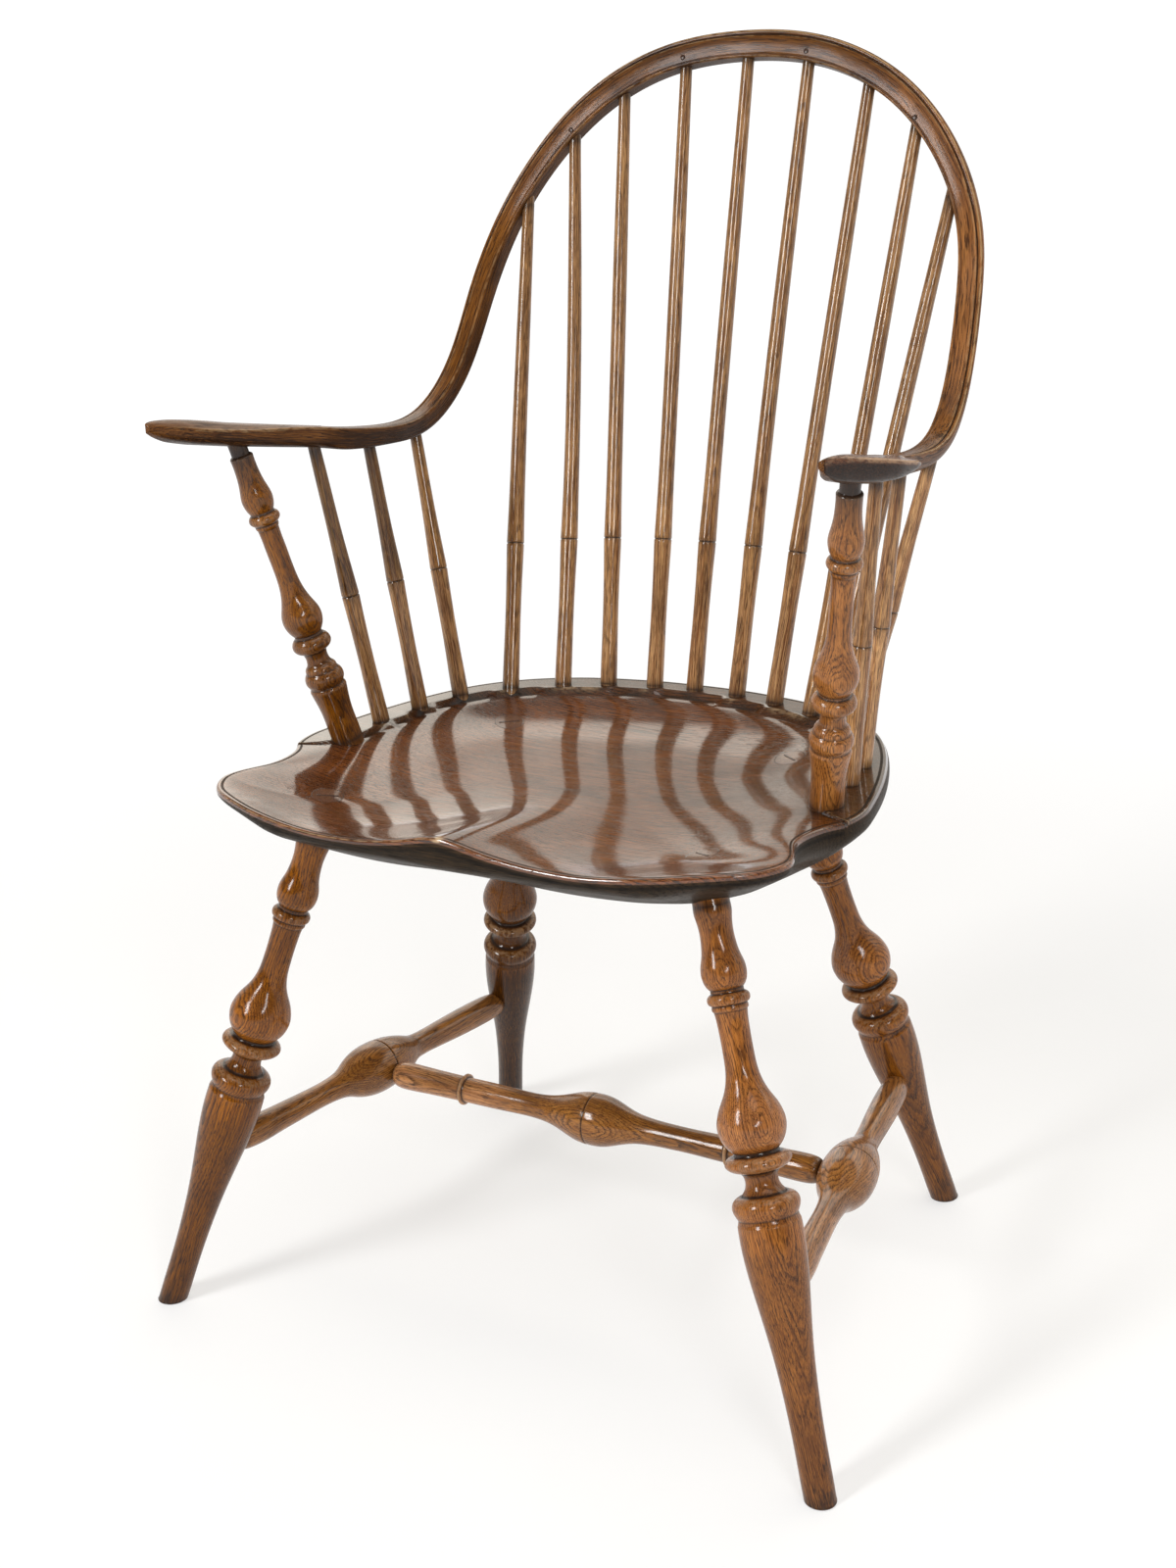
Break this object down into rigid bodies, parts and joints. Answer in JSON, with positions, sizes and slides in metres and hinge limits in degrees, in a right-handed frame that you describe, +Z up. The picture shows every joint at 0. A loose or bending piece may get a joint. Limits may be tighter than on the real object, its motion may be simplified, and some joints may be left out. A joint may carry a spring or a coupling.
{
  "type": "windsor chair",
  "caption": "Continuous-arm windsor chair: one bent bow forms back and arms over turned spindles, saddled plank seat and splayed turned legs tied by an H stretcher.",
  "frame": {"origin": "on the floor, at the middle of the bounding box in plan", "axes": "+Z up, -Y towards the front of the seat, +X towards the right arm as seen from the front, which is the sitter's left"},
  "size_m": [0.6058, 0.5569, 0.9751],
  "materials": {
    "seat_plank": "dark red-brown, very glossy old varnish",
    "bent_bow": "dark brown, glossy, worn lighter on the edges",
    "hand_wood": "dark brown, worn reddish on top",
    "post_wood": "golden brown, glossy varnish, dark in the grooves",
    "spindle_wood": "golden brown, streaked, glossy",
    "wedge_wood": "dark brown end grain",
    "leg_wood": "golden to red brown, glossy varnish, dark in the grooves",
    "stretcher_wood": "golden brown, glossy varnish",
    "peg_wood": "dark brown end grain"
  },
  "bodies": {
    "root": {"seat": "seat_plank", "arm_bow": "bent_bow", "hand_block_left": "hand_wood", "hand_block_right": "hand_wood", "arm_post_left": "post_wood", "arm_post_right": "post_wood", "back_spindle_1": "spindle_wood", "back_spindle_2": "spindle_wood", "back_spindle_3": "spindle_wood", "back_spindle_4": "spindle_wood", "back_spindle_5": "spindle_wood", "back_spindle_6": "spindle_wood", "back_spindle_7": "spindle_wood", "back_spindle_8": "spindle_wood", "back_spindle_9": "spindle_wood", "arm_spindle_left_1": "spindle_wood", "arm_spindle_left_2": "spindle_wood", "arm_spindle_left_3": "spindle_wood", "arm_spindle_right_1": "spindle_wood", "arm_spindle_right_2": "spindle_wood", "arm_spindle_right_3": "spindle_wood", "leg_front_left": "leg_wood", "leg_front_right": "leg_wood", "leg_rear_left": "leg_wood", "leg_rear_right": "leg_wood", "leg_wedge_front_left": "wedge_wood", "leg_wedge_front_right": "wedge_wood", "leg_wedge_rear_left": "wedge_wood", "leg_wedge_rear_right": "wedge_wood", "side_stretcher_left": "stretcher_wood", "side_stretcher_right": "stretcher_wood", "medial_stretcher": "stretcher_wood", "bow_pegs": "peg_wood"}
  },
  "joints": []
}
